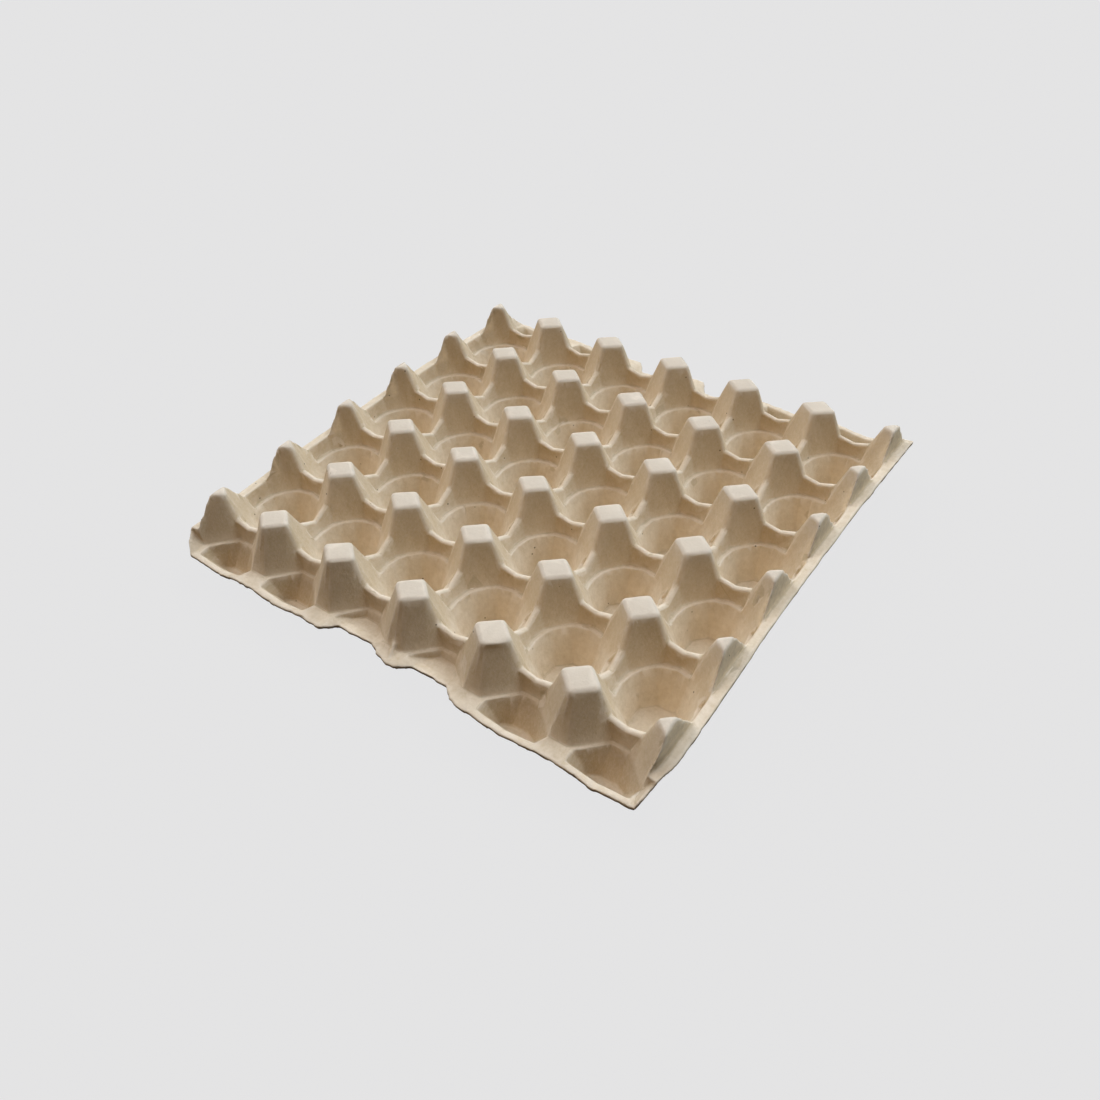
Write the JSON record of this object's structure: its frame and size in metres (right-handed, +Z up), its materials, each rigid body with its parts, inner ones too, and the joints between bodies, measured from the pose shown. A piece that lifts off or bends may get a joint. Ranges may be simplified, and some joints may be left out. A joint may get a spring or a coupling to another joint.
{
  "type": "pulp egg tray",
  "caption": "Moulded pulp egg tray: a grid of eight-sided cups between tall hollow posts, with side flanges and a low rim of half pockets, to carry and stack eggs.",
  "frame": {"origin": "middle of the tray on the plane that its cup floors stand on", "axes": "+Z up, +X along the rows of six cups, +Y along the rows of five cups"},
  "size_m": [0.291, 0.297, 0.045],
  "materials": {
    "pulp": "matte"
  },
  "bodies": {
    "root": {"tray": "pulp"}
  },
  "joints": []
}
